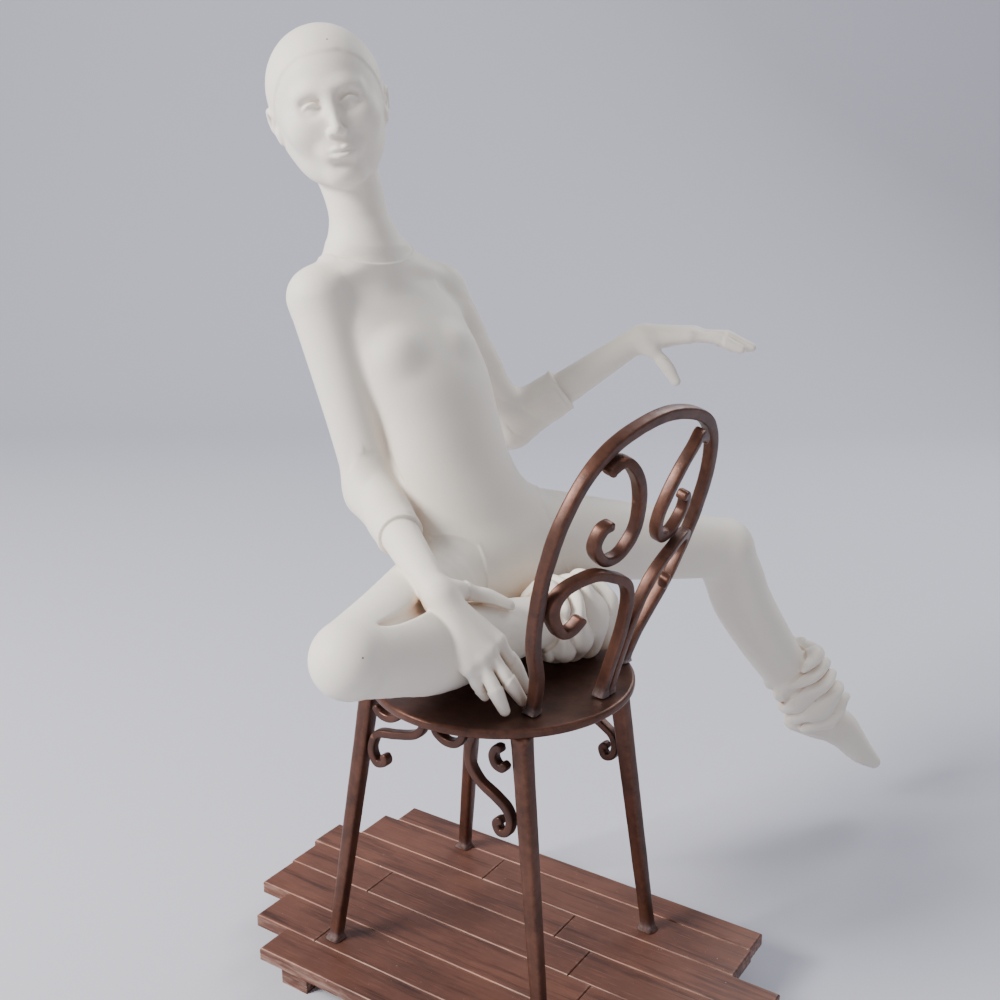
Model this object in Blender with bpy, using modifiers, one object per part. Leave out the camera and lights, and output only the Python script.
"""A porcelain dancer seated on a bronze cafe chair, on a small plank floor.

Metres, +Z up. The origin lies under the seat's axis, on the underside of the middle runner.
The planks run along X. The chair's back stands on the +X side, so the chair faces -X, and
left and right are the left and right of someone who sits on the chair in the usual way.
"""

import math

import bmesh
import bpy
from mathutils import Matrix, Vector

# Clearance between pieces that touch.
GAP = 0.0003

# Plank floor.
RUNNER_HEIGHT = 0.0115
RUNNER_WIDTH = 0.012
RUNNER_INSET = 0.006
RUNNER_SPACING = 0.058
SLAB_THICKNESS = 0.0049
GROOVE_DEPTH = 0.0007
GROOVE_WIDTH = 0.0010
PLANK_SEAMS = (-0.0560, -0.0419, -0.0247, -0.0070, 0.0093, 0.0251, 0.0419, 0.0537)
PLANK_LEFT_ENDS = (-0.0685, -0.0837, -0.0971, -0.0980, -0.1005, -0.0885, -0.0819)
PLANK_RIGHT_ENDS = (0.0790, 0.0870, 0.1010, 0.0930, 0.0985, 0.0811, 0.0805)
BUTT_JOINTS = ((1, -0.0548), (3, -0.0586), (3, 0.0325), (4, 0.0171), (2, 0.0420), (5, -0.0260))

# Chair.
CHAIR_TURN = math.radians(-3.0)
SEAT_RADIUS = 0.0460
SEAT_HEIGHT = 0.1057
SEAT_THICKNESS = 0.0034
SEAT_RIM = 0.0012
RIM_STEPS = 3
LEG_TOP_WIDTH = 0.0062
LEG_FOOT_WIDTH = 0.0046
FRONT_LEG_TOP = (-0.0338, 0.0303)
FRONT_LEG_FOOT = (-0.0474, 0.0383)
REAR_LEG_TOP = (0.0290, 0.0288)
REAR_LEG_FOOT = (0.0420, 0.0351)
BACK_TURN = math.radians(-4.9)
BACK_FOOT_X = 0.0284
BACK_SHIFT = 0.0059
BACK_LEAN = math.radians(16.8)
CANE_BULGE = 0.0092
SCROLL_BULGE = 0.0050
BACK_HEIGHT = 0.1017
BACK_HALF_WIDTH = 0.0435
HOOP_BAR = 0.0041
SCROLL_BAR = 0.0034
SCROLL_DEPTH = 0.0040
APRON_BAR = 0.0029
APRON_DEPTH = 0.0036
APRON_REACH = 0.0322
SECTION_SIDES = 24

# Dancer. Places and radii of the figure are shares of this length, about a ninth of its
# standing height, measured from the middle of the seat's top.
FIGURE = 0.0460

FLOOR_TOP = RUNNER_HEIGHT + GAP + SLAB_THICKNESS
SEAT_TOP = FLOOR_TOP + SEAT_HEIGHT
SEAT_UNDERSIDE = SEAT_TOP - SEAT_THICKNESS

# The back's hoop and its scrolls on one side: (sideways, up) in shares of its half width and
# height. The scrolls bulge rearward from the hoop's plane.
HOOP_SIDE = ((0.603, 0.000), (0.683, 0.145), (0.878, 0.308), (0.979, 0.489), (1.000, 0.606),
             (0.963, 0.738), (0.810, 0.873), (0.519, 0.959), (0.000, 1.000))
UPPER_SCROLL = ((-0.645, 0.868), (-0.600, 0.889), (-0.478, 0.899), (-0.300, 0.828), (-0.186, 0.729),
                (-0.160, 0.640), (-0.265, 0.574), (-0.440, 0.568), (-0.580, 0.625), (-0.560, 0.682),
                (-0.468, 0.698))
LOWER_CANE = ((-0.049, -0.045), (-0.049, 0.186), (-0.053, 0.290), (-0.106, 0.407), (-0.212, 0.484),
              (-0.408, 0.527), (-0.608, 0.545), (-0.810, 0.507), (-0.847, 0.434), (-0.730, 0.353),
              (-0.640, 0.346), (-0.561, 0.394))

# Apron bars: (along the chair, below the seat's top) in shares of the seat's radius.
APRON_BARS = {
    "front_bracket": ((-0.180, -0.050), (-0.175, -0.210), (-0.250, -0.320), (-0.450, -0.385),
                      (-0.620, -0.425), (-0.680, -0.510), (-0.690, -0.600), (-0.640, -0.670),
                      (-0.560, -0.640), (-0.575, -0.580)),
    "front_curl": ((-0.650, -0.200), (-0.590, -0.255), (-0.500, -0.265), (-0.415, -0.215),
                   (-0.430, -0.150), (-0.500, -0.130)),
    "middle_loop": ((-0.080, -0.050), (-0.070, -0.210), (-0.020, -0.270), (0.060, -0.290),
                    (0.140, -0.265), (0.190, -0.190), (0.205, -0.050)),
    "rear_bracket": ((0.330, -0.050), (0.275, -0.180), (0.240, -0.290), (0.250, -0.400),
                     (0.330, -0.505), (0.470, -0.580), (0.565, -0.645), (0.600, -0.730),
                     (0.575, -0.820), (0.510, -0.840), (0.480, -0.780), (0.530, -0.740)),
    "rear_curl": ((0.560, -0.300), (0.530, -0.340), (0.475, -0.325), (0.450, -0.265),
                  (0.480, -0.205), (0.530, -0.195)),
}

# The figure's joints: (x, y, height over the seat).
HIP = {"left": (-0.541, 0.960, 0.74), "right": (-0.643, 0.317, 0.52)}
KNEE = {"left": (0.560, 2.772, 0.31), "right": (-0.225, -1.469, 0.56)}
CALF = {"left": (0.681, 3.083, -0.32), "right": (-0.090, -0.630, 0.392)}
SHIN = {"left": (0.898, 3.478, -0.949), "right": (0.176, 0.165, 0.365)}
ANKLE = {"left": (1.164, 3.833, -1.50), "right": (0.309, 0.710, 0.30)}
WARMER_TOP = {"left": (0.973, 3.612, -1.007), "right": (0.205, 0.255, 0.345)}
WARMER_END = {"left": (1.216, 3.881, -1.547), "right": (0.315, 0.750, 0.300)}
HEEL = {"left": (1.019, 3.737, -1.66), "right": (0.420, 0.840, 0.20)}
INSTEP = {"left": (1.380, 4.002, -1.754), "right": (0.170, 1.030, 0.240)}
SOLE_BALL = {"left": (1.555, 4.142, -2.005), "right": (0.040, 1.340, 0.190)}
TOE = {"left": (1.686, 4.239, -2.145), "right": (-0.060, 1.560, 0.14)}
SHOULDER = {"left": (-1.368, 1.084, 2.65), "right": (-1.636, -0.066, 2.69)}
ELBOW = {"left": (-1.160, 1.870, 1.41), "right": (-1.199, -0.017, 1.226)}
WRIST = {"left": (-0.206, 2.504, 2.19), "right": (-0.092, -0.698, 0.81)}
KNUCKLES = {"left": (0.177, 2.734, 2.20), "right": (0.262, -0.690, 0.475)}
NECK_BASE = (-1.564, 0.403, 3.05)
SKULL_BASE = (-1.608, 0.310, 3.58)
HEAD = (-1.727, 0.234, 4.077)
CHEST_FACING = math.radians(-14.0)
HEAD_FACING = math.radians(-47.0)
HEAD_ROLL = math.radians(12.0)

# Torso sections: (x, y, height, half width, half depth, facing in degrees).
TORSO = (
    (-0.55, 0.60, -0.03, 0.40, 0.34, -9), (-0.57, 0.62, 0.32, 0.64, 0.49, -9),
    (-0.63, 0.61, 0.75, 0.68, 0.49, -9), (-0.74, 0.58, 1.05, 0.61, 0.44, -10),
    (-0.885, 0.56, 1.42, 0.54, 0.40, -11), (-1.00, 0.56, 1.75, 0.54, 0.40, -12),
    (-1.14, 0.55, 2.08, 0.58, 0.42, -13), (-1.31, 0.53, 2.38, 0.60, 0.40, -14),
    (-1.43, 0.51, 2.62, 0.58, 0.33, -14), (-1.51, 0.48, 2.82, 0.44, 0.27, -14),
    (-1.55, 0.43, 3.00, 0.25, 0.22, -14),
)

FINGERS = {
    "right": (((-0.029, -0.461, 0.77), (0.075, -0.310, 0.70), (0.195, -0.208, 0.63)),
              ((0.307, -0.530, 0.491), (0.375, -0.420, 0.290), (0.400, -0.290, 0.065)),
              ((0.305, -0.639, 0.454), (0.450, -0.615, 0.270), (0.476, -0.462, 0.055)),
              ((0.291, -0.722, 0.414), (0.415, -0.729, 0.240), (0.460, -0.664, 0.055)),
              ((0.254, -0.807, 0.384), (0.292, -0.757, 0.250), (0.303, -0.675, 0.130))),
    "left": (((-0.080, 2.480, 2.10), (0.060, 2.520, 1.96), (0.135, 2.545, 1.81)),
             ((0.190, 2.640, 2.220), (0.410, 2.750, 2.200), (0.600, 2.835, 2.115)),
             ((0.190, 2.730, 2.230), (0.430, 2.870, 2.210), (0.640, 2.975, 2.115)),
             ((0.170, 2.810, 2.220), (0.390, 2.960, 2.190), (0.570, 3.065, 2.095)),
             ((0.130, 2.880, 2.190), (0.300, 3.000, 2.150), (0.420, 3.080, 2.080))),
}
FINGER_RADIUS = 0.056
CALF_RADIUS = {"left": 0.270, "right": 0.315}
SHIN_RADIUS = {"left": 0.235, "right": 0.200}
WARMER_FOLD = 0.100
WARMER_RADII = (0.340, 0.300, 0.305, 0.315, 0.275)


def clear_scene():
    """Remove what the default file holds."""
    for obj in list(bpy.data.objects):
        bpy.data.objects.remove(obj, do_unlink=True)


def make_collection(name):
    """Add a collection to the scene."""
    collection = bpy.data.collections.new(name)
    bpy.context.scene.collection.children.link(collection)
    return collection


def make_material(name, colour, roughness, metallic):
    """Make a Principled material."""
    material = bpy.data.materials.new(name)
    material.use_nodes = True
    shader = material.node_tree.nodes["Principled BSDF"]
    shader.inputs["Base Color"].default_value = (*colour, 1.0)
    shader.inputs["Roughness"].default_value = roughness
    shader.inputs["Metallic"].default_value = metallic
    return material


def add_object(name, mesh, collection, material=None):
    """Put a mesh in the scene as a named object."""
    obj = bpy.data.objects.new(name, mesh)
    if material is not None:
        mesh.materials.clear()
        mesh.materials.append(material)
    collection.objects.link(obj)
    return obj


def face_outward(shape):
    """Turn every face of a closed shape outward."""
    bmesh.ops.recalc_face_normals(shape, faces=shape.faces)
    if shape.calc_volume(signed=True) < 0:
        bmesh.ops.reverse_faces(shape, faces=shape.faces)


def mesh_from_bmesh(name, shape):
    """Turn a bmesh into a mesh with outward faces."""
    face_outward(shape)
    mesh = bpy.data.meshes.new(name)
    shape.to_mesh(mesh)
    shape.free()
    return mesh


def mesh_from_object(obj):
    """Evaluate an object, weld its mesh and remove the object."""
    bpy.context.view_layer.update()
    evaluated = obj.evaluated_get(bpy.context.evaluated_depsgraph_get())
    mesh = bpy.data.meshes.new_from_object(evaluated)
    shape = bmesh.new()
    shape.from_mesh(mesh)
    shape.transform(obj.matrix_world)
    bmesh.ops.remove_doubles(shape, verts=shape.verts, dist=0.00001)
    bpy.data.objects.remove(obj, do_unlink=True)
    return mesh_from_bmesh(mesh.name, shape)


def smooth_path(points, steps):
    """Pass a Catmull-Rom curve through points of any length."""
    ends = [tuple(2 * a - b for a, b in zip(points[0], points[1]))]
    tail = [tuple(2 * a - b for a, b in zip(points[-1], points[-2]))]
    knots = ends + [tuple(p) for p in points] + tail
    path = []
    for before, start, end, after in zip(knots, knots[1:], knots[2:], knots[3:]):
        for step in range(steps):
            t = step / steps
            path.append(tuple(
                0.5 * (2 * p1 + (p2 - p0) * t + (2 * p0 - 5 * p1 + 4 * p2 - p3) * t * t
                       + (3 * p1 - p0 - 3 * p2 + p3) * t ** 3)
                for p0, p1, p2, p3 in zip(before, start, end, after)))
    path.append(tuple(points[-1]))
    return path


def curve_object(name, points, collection, radii=None):
    """Make a POLY curve object through points."""
    curve = bpy.data.curves.new(name, "CURVE")
    curve.dimensions = "3D"
    curve.fill_mode = "FULL"
    curve.use_fill_caps = True
    curve.resolution_u = 1
    spline = curve.splines.new("POLY")
    spline.points.add(len(points) - 1)
    for index, (knot, point) in enumerate(zip(spline.points, points)):
        knot.co = (*point, 1.0)
        knot.radius = radii[index] if radii else 1.0
    obj = bpy.data.objects.new(name, curve)
    collection.objects.link(obj)
    return obj


def bar_section(name, thickness, depth, guides):
    """Make the rectangle that a flat bar is drawn along its curve with."""
    curve = bpy.data.curves.new(name, "CURVE")
    curve.dimensions = "2D"
    spline = curve.splines.new("POLY")
    spline.points.add(3)
    for knot, (u, v) in zip(spline.points, ((-1, -1), (1, -1), (1, 1), (-1, 1))):
        knot.co = (u * thickness / 2, v * depth / 2, 0.0, 1.0)
    spline.use_cyclic_u = True
    obj = bpy.data.objects.new(name, curve)
    obj.hide_render = True
    obj.display_type = "WIRE"
    guides.objects.link(obj)
    return obj


def flat_bar(name, outline, section, collection):
    """Draw a bar along a flat outline and return it as a mesh in the outline's plane."""
    obj = curve_object(name, [(x, y, 0.0) for x, y in outline], collection)
    obj.data.twist_mode = "Z_UP"
    obj.data.bevel_mode = "OBJECT"
    obj.data.bevel_object = section
    return mesh_from_object(obj)


def map_mesh(mesh, rule):
    """Move each vertex of a mesh by a rule and turn its faces outward again."""
    shape = bmesh.new()
    shape.from_mesh(mesh)
    for vertex in shape.verts:
        vertex.co = rule(vertex.co)
    face_outward(shape)
    shape.to_mesh(mesh)
    shape.free()
    return mesh


def on_chair(point):
    """Turn a point of the chair about the seat's axis."""
    return Matrix.Rotation(CHAIR_TURN, 3, "Z") @ Vector(point)


def build_runners(parts, material):
    """Make the three battens under the floor."""
    rear = PLANK_SEAMS[-1] - RUNNER_INSET
    front = PLANK_SEAMS[0] + RUNNER_INSET
    for name, place in (("left", -1), ("middle", 0), ("right", 1)):
        shape = bmesh.new()
        bmesh.ops.create_cube(shape, size=1.0)
        bmesh.ops.scale(shape, vec=(RUNNER_WIDTH, rear - front, RUNNER_HEIGHT), verts=shape.verts)
        centre = (place * RUNNER_SPACING, (rear + front) / 2, RUNNER_HEIGHT / 2)
        bmesh.ops.translate(shape, vec=centre, verts=shape.verts)
        add_object(f"runner_{name}", mesh_from_bmesh(f"runner_{name}", shape), parts, material)


def slab_outline():
    """List the corners of the floor, round its staggered plank ends."""
    left, right = [], []
    rows = zip(PLANK_SEAMS, PLANK_SEAMS[1:], PLANK_LEFT_ENDS, PLANK_RIGHT_ENDS)
    for front, rear, left_end, right_end in rows:
        left += [(left_end, front), (left_end, rear)]
        right += [(right_end, front), (right_end, rear)]
    return right + left[::-1]


def groove_cutter(name, start, end, cutters):
    """Make a V-shaped cutter along a straight joint in the floor."""
    run = Vector(end) - Vector(start)
    side = Vector((-run.y, run.x)).normalized() * GROOVE_WIDTH
    shape = bmesh.new()
    rings = []
    for place in (Vector(start), Vector(end)):
        low = (place.x, place.y, FLOOR_TOP - GROOVE_DEPTH)
        sides = [(place.x + s * side.x, place.y + s * side.y, FLOOR_TOP + GROOVE_DEPTH) for s in (1, -1)]
        rings.append([shape.verts.new(corner) for corner in (low, *sides)])
    shape.faces.new(rings[0])
    shape.faces.new(rings[1][::-1])
    for index in range(3):
        follow = (index + 1) % 3
        shape.faces.new((rings[0][index], rings[1][index], rings[1][follow], rings[0][follow]))
    obj = add_object(name, mesh_from_bmesh(name, shape), cutters)
    obj.hide_render = True
    obj.display_type = "WIRE"
    return obj


def build_slab(parts, cutters, material):
    """Make the cast floor with its plank joints cut in."""
    shape = bmesh.new()
    low = FLOOR_TOP - SLAB_THICKNESS
    underside = shape.faces.new([shape.verts.new((x, y, low)) for x, y in slab_outline()])
    raised = bmesh.ops.extrude_face_region(shape, geom=[underside])
    lifted = [item for item in raised["geom"] if isinstance(item, bmesh.types.BMVert)]
    bmesh.ops.translate(shape, vec=(0.0, 0.0, SLAB_THICKNESS), verts=lifted)
    slab = add_object("floor_slab", mesh_from_bmesh("floor_slab", shape), parts, material)

    joints = []
    for row, seam in enumerate(PLANK_SEAMS[1:-1]):
        start = max(PLANK_LEFT_ENDS[row], PLANK_LEFT_ENDS[row + 1]) - GROOVE_WIDTH
        end = min(PLANK_RIGHT_ENDS[row], PLANK_RIGHT_ENDS[row + 1]) + GROOVE_WIDTH
        joints.append(((start, seam), (end, seam)))
    for row, place in BUTT_JOINTS:
        joints.append(((place, PLANK_SEAMS[row]), (place, PLANK_SEAMS[row + 1])))
    for index, (start, end) in enumerate(joints):
        cutter = groove_cutter(f"joint_cutter_{index}", start, end, cutters)
        cut = slab.modifiers.new(f"joint_{index}", "BOOLEAN")
        cut.operation = "DIFFERENCE"
        cut.solver = "EXACT"
        cut.object = cutter


def build_seat(parts, material):
    """Turn the round seat with its rolled rim."""
    profile = [(0.0, SEAT_TOP)]
    for height, start in ((SEAT_TOP - SEAT_RIM, math.pi / 2), (SEAT_UNDERSIDE + SEAT_RIM, 0.0)):
        for step in range(RIM_STEPS + 1):
            angle = start - math.pi / 2 * step / RIM_STEPS
            profile.append((SEAT_RADIUS - SEAT_RIM * (1 - math.cos(angle)),
                            height + SEAT_RIM * math.sin(angle)))
    profile.append((0.0, SEAT_UNDERSIDE))
    mesh = bpy.data.meshes.new("seat")
    mesh.from_pydata([(x, 0.0, z) for x, z in profile],
                     [(i, i + 1) for i in range(len(profile) - 1)], [])
    seat = add_object("seat", mesh, parts, material)
    turn = seat.modifiers.new("turn", "SCREW")
    turn.steps = 48
    turn.render_steps = 48
    turn.use_merge_vertices = True
    turn.merge_threshold = 0.00001
    turn.use_smooth_shade = True
    return seat


def build_leg(name, top, foot, parts, material):
    """Make one square tapered leg between the floor and the seat."""
    low = FLOOR_TOP + GAP
    high = SEAT_UNDERSIDE - GAP
    shape = bmesh.new()
    bmesh.ops.create_cube(shape, size=1.0)
    for vertex in shape.verts:
        upper = vertex.co.z > 0
        width = LEG_TOP_WIDTH if upper else LEG_FOOT_WIDTH
        x, y = top if upper else foot
        vertex.co = on_chair((x + vertex.co.x * width, y + vertex.co.y * width,
                              high if upper else low))
    add_object(name, mesh_from_bmesh(name, shape), parts, material)


def build_legs(parts, material):
    """Make the four legs; left is the -Y side."""
    for side, sign in (("left", -1), ("right", 1)):
        for place, top, foot in (("front", FRONT_LEG_TOP, FRONT_LEG_FOOT),
                                 ("rear", REAR_LEG_TOP, REAR_LEG_FOOT)):
            build_leg(f"leg_{place}_{side}", (top[0], sign * top[1]), (foot[0], sign * foot[1]),
                      parts, material)


def hoop_half_width(up):
    """Find how far from the middle the hoop stands at a height, as a share of the largest."""
    for (x0, y0), (x1, y1) in zip(HOOP_SIDE, HOOP_SIDE[1:]):
        if up <= y1:
            return x0 + (x1 - x0) * max(0.0, up - y0) / (y1 - y0)
    return 0.0


def on_back(point, bulge=0.0):
    """Lay a point (sideways, up, outward) on the leaning back; bulge is how far its middle swells."""
    sideways, up, outward = point
    rim = BACK_HALF_WIDTH * hoop_half_width(up / BACK_HEIGHT)
    outward += bulge * max(0.0, 1 - (sideways / max(rim, HOOP_BAR)) ** 2)
    x = BACK_FOOT_X + up * math.sin(BACK_LEAN) + outward * math.cos(BACK_LEAN)
    z = up * math.cos(BACK_LEAN) - outward * math.sin(BACK_LEAN)
    return Matrix.Rotation(BACK_TURN, 3, "Z") @ Vector((x, BACK_SHIFT + sideways, SEAT_TOP + z))


def hoop_outline():
    """Follow the hoop from one foot over the top to the other."""
    side = [(x * BACK_HALF_WIDTH, y * BACK_HEIGHT) for x, y in HOOP_SIDE]
    foot = (side[0][0], -HOOP_BAR)
    left = [(-x, y) for x, y in [foot] + side[:-1]]
    right = [foot] + side[:-1]
    return smooth_path(left + [side[-1]] + right[::-1], 3)


def trim(mesh, height, upward):
    """Cut a mesh level at a height and keep what is above it, or below it."""
    shape = bmesh.new()
    shape.from_mesh(mesh)
    whole = list(shape.verts) + list(shape.edges) + list(shape.faces)
    cut = bmesh.ops.bisect_plane(shape, geom=whole, plane_co=(0, 0, height),
                                 plane_no=(0, 0, -1 if upward else 1),
                                 clear_outer=True, dist=0.000001)
    rim = [item for item in cut["geom_cut"] if isinstance(item, bmesh.types.BMEdge)]
    bmesh.ops.holes_fill(shape, edges=rim)
    face_outward(shape)
    shape.to_mesh(mesh)
    shape.free()
    return mesh


def build_back(parts, guides, material):
    """Make the hoop and its four scrolls."""
    hoop_section = bar_section("hoop_section", HOOP_BAR, HOOP_BAR, guides)
    scroll_section = bar_section("scroll_section", SCROLL_BAR, SCROLL_DEPTH, guides)
    hoop = flat_bar("back_hoop", hoop_outline(), hoop_section, parts)
    hoop = trim(map_mesh(hoop, on_back), SEAT_TOP + GAP, upward=True)
    add_object("back_hoop", hoop, parts, material)
    for side, sign in (("left", 1), ("right", -1)):
        for name, shares, bulge in (("back_scroll", UPPER_SCROLL, SCROLL_BULGE),
                                    ("back_cane", LOWER_CANE, CANE_BULGE)):
            points = [(sign * x * BACK_HALF_WIDTH, y * BACK_HEIGHT) for x, y in shares]
            mesh = flat_bar(f"{name}_{side}", smooth_path(points, 3), scroll_section, parts)
            mesh = map_mesh(mesh, lambda p: on_back(p, bulge))
            add_object(f"{name}_{side}", trim(mesh, SEAT_TOP + GAP, upward=True), parts, material)


def build_apron(parts, guides, material):
    """Make the scrolled bars under the seat, on the left and the right."""
    section = bar_section("apron_section", APRON_BAR, APRON_DEPTH, guides)
    for side, sign in (("left", -1), ("right", 1)):
        for name, shares in APRON_BARS.items():
            points = [(x * SEAT_RADIUS, z * SEAT_RADIUS) for x, z in shares]
            mesh = flat_bar(f"apron_{name}_{side}", smooth_path(points, 3), section, parts)
            mesh = map_mesh(mesh, lambda p: on_chair((p.x, sign * APRON_REACH + p.z, SEAT_TOP + p.y)))
            mesh = trim(mesh, SEAT_UNDERSIDE - GAP, upward=False)
            add_object(f"apron_{name}_{side}", mesh, parts, material)


def figure_point(point):
    """Place a point of the figure, given in shares of FIGURE over the seat."""
    x, y, height = point
    return Vector((x * FIGURE, y * FIGURE, SEAT_TOP + height * FIGURE))


def limb(knots, parts):
    """Make a round limb through (point, radius) knots, with rounded ends."""
    path = smooth_path([(*point, radius) for point, radius in knots], 4)
    points = [figure_point(p[:3]) for p in path]
    radii = [p[3] for p in path]
    obj = curve_object("limb", points, parts, radii)
    obj.data.bevel_depth = FIGURE
    obj.data.bevel_resolution = 4
    pieces = [mesh_from_object(obj)]
    for point, radius in (knots[0], knots[-1]):
        pieces.append(ball(point, (radius, radius, radius)))
    return pieces


def ball(point, radii, turn=Matrix.Identity(3)):
    """Make an ellipsoid; turn gives the directions of its three radii."""
    shape = bmesh.new()
    bmesh.ops.create_uvsphere(shape, u_segments=20, v_segments=12, radius=1.0)
    centre = figure_point(point)
    for vertex in shape.verts:
        local = Vector(r * c for r, c in zip(radii, vertex.co))
        vertex.co = centre + (turn @ local) * FIGURE
    return mesh_from_bmesh("ball", shape)


def facing_matrix(facing, roll=0.0):
    """Turn local +X forward, +Y to the figure's left and +Z up."""
    return Matrix.Rotation(facing, 3, "Z") @ Matrix.Rotation(roll, 3, "X")


def torso():
    """Loft the trunk through its oval sections."""
    shape = bmesh.new()
    rings = []
    for section in smooth_path(TORSO, 2):
        x, y, height, half_width, half_depth, facing = section
        turn = facing_matrix(math.radians(facing))
        centre = figure_point((x, y, height))
        ring = []
        for index in range(SECTION_SIDES):
            angle = 2 * math.pi * index / SECTION_SIDES
            local = Vector((half_depth * math.cos(angle), half_width * math.sin(angle), 0.0))
            ring.append(shape.verts.new(centre + turn @ local * FIGURE))
        rings.append(ring)
    for lower, upper in zip(rings, rings[1:]):
        for index in range(SECTION_SIDES):
            follow = (index + 1) % SECTION_SIDES
            shape.faces.new((lower[index], lower[follow], upper[follow], upper[index]))
    shape.faces.new(rings[0])
    shape.faces.new(rings[-1])
    return mesh_from_bmesh("torso", shape)


def between(start, end, share):
    """Find the point that lies a share of the way from start to end."""
    return tuple(a + (b - a) * share for a, b in zip(start, end))


def arm(side, parts):
    """Make an arm in its sleeve, with the sleeve's raised cuff."""
    shoulder, elbow, wrist = SHOULDER[side], ELBOW[side], WRIST[side]
    cuff = 0.42 if side == "right" else 0.37
    sleeve = [(shoulder, 0.245), (between(shoulder, elbow, 0.5), 0.205), (elbow, 0.200),
              (between(elbow, wrist, cuff), 0.210)]
    skin = [(elbow, 0.160), (between(elbow, wrist, 0.4), 0.160), (wrist, 0.120)]
    return limb(sleeve, parts) + limb(skin, parts)


def hand(side, parts):
    """Make a palm and five fingers."""
    wrist, knuckles = WRIST[side], KNUCKLES[side]
    pieces = limb([(wrist, 0.115), (between(wrist, knuckles, 0.55), 0.120), (knuckles, 0.100)], parts)
    for finger in FINGERS[side]:
        base, middle, tip = finger
        pieces += limb([(between(wrist, base, 0.45), 0.080), (base, FINGER_RADIUS * 1.3),
                        (middle, FINGER_RADIUS), (tip, FINGER_RADIUS * 0.7)], parts)
    return pieces


def leg(side, parts):
    """Make a leg with its rumpled leg warmer and pointed foot."""
    hip, knee, calf, shin, ankle = HIP[side], KNEE[side], CALF[side], SHIN[side], ANKLE[side]
    heel, instep, sole_ball, toe = HEEL[side], INSTEP[side], SOLE_BALL[side], TOE[side]
    pieces = limb([(hip, 0.40), (between(hip, knee, 0.5), 0.34), (knee, 0.285)], parts)
    pieces += limb([(knee, 0.280), (calf, CALF_RADIUS[side]), (shin, SHIN_RADIUS[side]),
                    (ankle, 0.165)], parts)
    pieces += limb([(heel, 0.115), (between(heel, instep, 0.5), 0.155), (instep, 0.180),
                    (sole_ball, 0.130), (toe, 0.078)], parts)
    pieces += limb([(ankle, 0.170), (between(ankle, instep, 0.5), 0.180), (instep, 0.180)], parts)
    top, end = WARMER_TOP[side], WARMER_END[side]
    axis = (Vector(end) - Vector(top)).normalized()
    turn = axis.to_track_quat("Z", "Y").to_matrix()
    for step, radius in enumerate(WARMER_RADII):
        place = between(top, end, step / (len(WARMER_RADII) - 1))
        pieces.append(ball(place, (radius, radius, WARMER_FOLD), turn))
    return pieces


def head():
    """Make the head: skull, jaw, cap of hair and plain features."""
    turn = facing_matrix(HEAD_FACING, HEAD_ROLL)
    centre = Vector(HEAD)

    def part(forward, left, up, radii):
        return ball(centre + turn @ Vector((forward, left, up)), radii, turn)

    pieces = [part(-0.04, 0.0, 0.13, (0.50, 0.435, 0.47)), part(0.08, 0.0, -0.17, (0.38, 0.35, 0.41)),
              part(0.25, 0.0, -0.45, (0.13, 0.13, 0.11)), part(0.44, 0.0, -0.08, (0.075, 0.05, 0.13)),
              part(0.48, 0.0, -0.16, (0.06, 0.065, 0.05)), part(0.40, 0.0, -0.30, (0.05, 0.09, 0.04))]
    for sign in (-1, 1):
        pieces.append(part(0.0, sign * 0.40, -0.06, (0.075, 0.05, 0.12)))
        pieces.append(part(0.30, sign * 0.17, -0.17, (0.12, 0.13, 0.14)))
    return pieces


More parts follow.
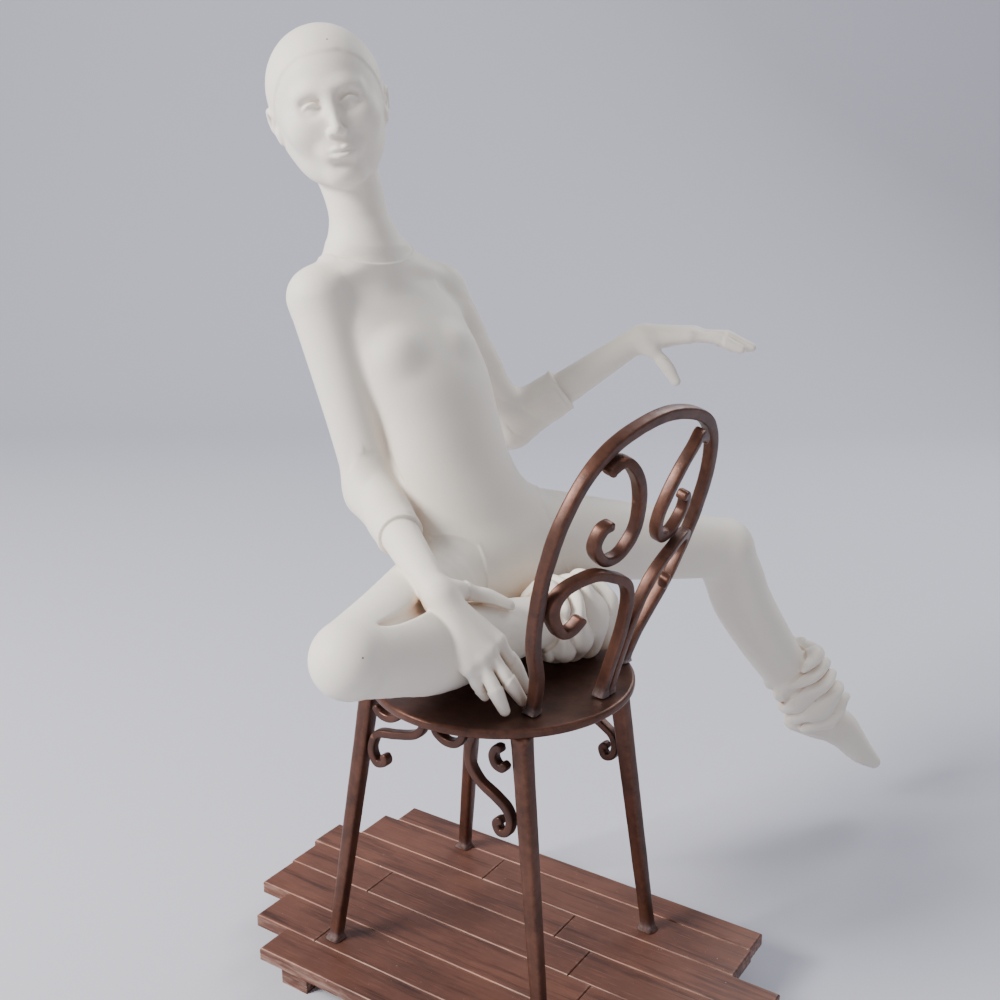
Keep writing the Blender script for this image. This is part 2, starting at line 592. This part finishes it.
def build_dancer(parts, guides, material):
    """Join the body's forms into one cast skin."""
    pieces = [torso()] + head()
    pieces += limb([(between(NECK_BASE, SKULL_BASE, -0.35), 0.32), (NECK_BASE, 0.270),
                    (SKULL_BASE, 0.240), (between(SKULL_BASE, HEAD, 0.5), 0.25)], parts)
    for side in ("left", "right"):
        pieces += arm(side, parts) + hand(side, parts) + leg(side, parts)
        pieces += limb([(NECK_BASE, 0.20), (between(NECK_BASE, SHOULDER[side], 0.55), 0.19),
                        (SHOULDER[side], 0.22)], parts)
    turn = facing_matrix(CHEST_FACING)
    chest = Vector(TORSO[7][:3])
    for sign in (-1, 1):
        breast = chest + turn @ Vector((0.30, sign * 0.27, -0.13))
        pieces.append(ball(breast, (0.15, 0.19, 0.19), turn))
    shape = bmesh.new()
    for piece in pieces:
        shape.from_mesh(piece)
        bpy.data.meshes.remove(piece)
    mesh = bpy.data.meshes.new("dancer")
    shape.to_mesh(mesh)
    shape.free()
    dancer = add_object("dancer", mesh, parts, material)
    skin = dancer.modifiers.new("skin", "REMESH")
    skin.mode = "VOXEL"
    skin.voxel_size = 0.0012
    soften = dancer.modifiers.new("soften", "SMOOTH")
    soften.factor = 0.5
    soften.iterations = 8
    thin = dancer.modifiers.new("thin", "DECIMATE")
    thin.ratio = 0.033
    shape = bmesh.new()
    bmesh.ops.create_cone(shape, cap_ends=True, segments=64, radius1=SEAT_RADIUS + GAP,
                          radius2=SEAT_RADIUS + GAP, depth=SEAT_THICKNESS + 2 * GAP)
    centre = (SEAT_TOP + SEAT_UNDERSIDE) / 2
    bmesh.ops.translate(shape, vec=(0, 0, centre), verts=shape.verts)
    place = add_object("seat_space", mesh_from_bmesh("seat_space", shape), guides)
    place.hide_render = True
    place.display_type = "WIRE"
    sit = dancer.modifiers.new("sit", "BOOLEAN")
    sit.operation = "DIFFERENCE"
    sit.solver = "EXACT"
    sit.object = place


def main():
    """Build the figurine."""
    clear_scene()
    parts = make_collection("porcelain_dancer")
    guides = make_collection("cutters")
    porcelain = make_material("bisque_porcelain", (0.86, 0.82, 0.76), 0.55, 0.0)
    bronze = make_material("brown_bronze", (0.16, 0.070, 0.045), 0.42, 0.75)
    floor = make_material("cast_floor", (0.27, 0.130, 0.090), 0.50, 0.60)
    build_runners(parts, floor)
    build_slab(parts, guides, floor)
    build_seat(parts, bronze)
    build_legs(parts, bronze)
    build_back(parts, guides, bronze)
    build_apron(parts, guides, bronze)
    build_dancer(parts, guides, porcelain)


main()
